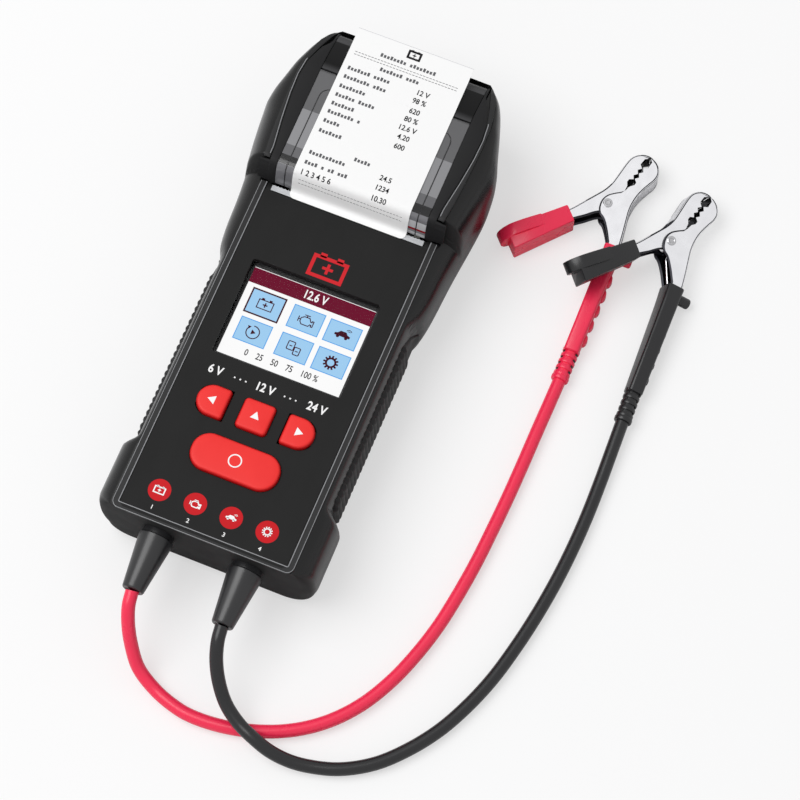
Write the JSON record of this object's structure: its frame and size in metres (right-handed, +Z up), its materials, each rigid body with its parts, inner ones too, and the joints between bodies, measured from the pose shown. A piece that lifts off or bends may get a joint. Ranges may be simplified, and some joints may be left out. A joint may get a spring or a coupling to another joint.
{
  "type": "battery tester",
  "caption": "Handheld battery tester with colour display, keypad, flip-lid receipt printer and two insulated clamp leads.",
  "frame": {"origin": "middle of the housing footprint, on the surface it lies on", "axes": "+X to the right hand of a reader, +Y from the lead end towards the printer end, +Z up out of the face"},
  "size_m": [0.2147, 0.3356, 0.0614],
  "materials": {
    "satin_shell": "satin",
    "matt_face": "matte",
    "grey_trim": "satin",
    "screen_glass": "gloss",
    "display": "gloss",
    "white_plastic": "satin",
    "circuit_board": "satin",
    "red_key": "satin",
    "red_mark": "satin",
    "black_plastic": "satin",
    "grip_rubber": "matte",
    "smoke_window": "gloss",
    "gloss_black": "gloss",
    "steel": "satin",
    "brass_pinion": "satin",
    "ceramic_head": "gloss",
    "thermal_paper": "matte",
    "card_core": "matte",
    "red_rubber": "satin",
    "plated_steel": "satin"
  },
  "bodies": {
    "housing": {"front_shell": "satin_shell", "back_shell": "satin_shell", "face_plate": "matt_face", "face_trim": "grey_trim", "head_trim": "grey_trim", "screen_window": "screen_glass", "lcd_module": "display", "lcd_frame": "white_plastic", "main_board": "circuit_board", "mark_lenses": "red_mark", "mark_leds": "white_plastic", "key_switches": "black_plastic", "buzzer": "black_plastic", "left_grip": "grip_rubber", "right_grip": "grip_rubber", "lid_pin": "steel", "feed_motor": "steel", "print_head": "ceramic_head", "printer_chassis": "steel", "paper_tub": "black_plastic", "paper_web": "thermal_paper", "tear_bar": "steel", "shell_screws": "steel", "left_boot": "grip_rubber", "right_boot": "grip_rubber", "red_lead": "red_rubber", "black_lead": "grip_rubber", "red_fixed_jaw": "plated_steel", "red_rivet": "plated_steel", "red_spring": "plated_steel", "red_long_sleeve": "red_rubber", "black_fixed_jaw": "plated_steel", "black_rivet": "plated_steel", "black_spring": "plated_steel", "black_long_sleeve": "grip_rubber"},
    "left_key": {"key_left": "red_key"},
    "up_key": {"key_up": "red_key"},
    "right_key": {"key_right": "red_key"},
    "enter_key": {"key_enter": "red_key"},
    "printer_lid": {"lid_frame": "matt_face", "lid_window": "smoke_window", "lid_cap": "gloss_black", "receipt": "thermal_paper"},
    "platen": {"platen_roller": "grip_rubber", "platen_shaft": "steel", "platen_gear": "white_plastic"},
    "idler": {"idler_gear": "white_plastic"},
    "rotor": {"motor_pinion": "brass_pinion"},
    "roll": {"paper_roll": "thermal_paper", "paper_core": "card_core"},
    "red_jaw": {"red_swing_jaw": "plated_steel", "red_short_sleeve": "red_rubber"},
    "black_jaw": {"black_swing_jaw": "plated_steel", "black_short_sleeve": "grip_rubber"}
  },
  "joints": [
    {"name": "left_key_press", "type": "slide", "parent": "housing", "child": "left_key", "axis": [0, 0, -1], "range_m": [0, 0.0006], "stiffness_N_per_m": 2000, "springref_m": -0.0004},
    {"name": "up_key_press", "type": "slide", "parent": "housing", "child": "up_key", "axis": [0, 0, -1], "range_m": [0, 0.0006], "stiffness_N_per_m": 2000, "springref_m": -0.0004},
    {"name": "right_key_press", "type": "slide", "parent": "housing", "child": "right_key", "axis": [0, 0, -1], "range_m": [0, 0.0006], "stiffness_N_per_m": 2000, "springref_m": -0.0004},
    {"name": "enter_key_press", "type": "slide", "parent": "housing", "child": "enter_key", "axis": [0, 0, -1], "range_m": [0, 0.0006], "stiffness_N_per_m": 2000, "springref_m": -0.0004},
    {"name": "lid_hinge", "type": "hinge", "parent": "housing", "child": "printer_lid", "pos_m": [0, 0.1185, 0.0495], "axis": [-1, 0, 0], "range_deg": [0, 80]},
    {"name": "platen_spin", "type": "hinge", "parent": "printer_lid", "child": "platen", "pos_m": [0, 0.0512, 0.0395], "axis": [1, 0, 0], "continuous": true},
    {"name": "idler_spin", "type": "hinge", "parent": "housing", "child": "idler", "pos_m": [0.0326, 0.0492, 0.0282], "axis": [1, 0, 0], "continuous": true},
    {"name": "rotor_spin", "type": "hinge", "parent": "housing", "child": "rotor", "pos_m": [0.026, 0.041, 0.0246], "axis": [1, 0, 0], "continuous": true},
    {"name": "roll_spin", "type": "hinge", "parent": "housing", "child": "roll", "pos_m": [0, 0.077, 0.0302], "axis": [1, 0, 0], "continuous": true},
    {"name": "red_jaw_open", "type": "hinge", "parent": "housing", "child": "red_jaw", "pos_m": [0.104, 0.1085, 0.0061], "axis": [0, 0, 1], "range_deg": [0, 22], "stiffness_Nm_per_rad": 0.8, "springref_deg": -28.65},
    {"name": "black_jaw_open", "type": "hinge", "parent": "housing", "child": "black_jaw", "pos_m": [0.13449, 0.09953, 0.00525], "axis": [0.3647, 0.0127, 0.9311], "range_deg": [0, 22], "stiffness_Nm_per_rad": 0.8, "springref_deg": -28.65}
  ],
  "couplings": [
    {"joint": "idler_spin", "follows": "platen_spin", "ratio": -0.76923},
    {"joint": "rotor_spin", "follows": "platen_spin", "ratio": 2}
  ]
}
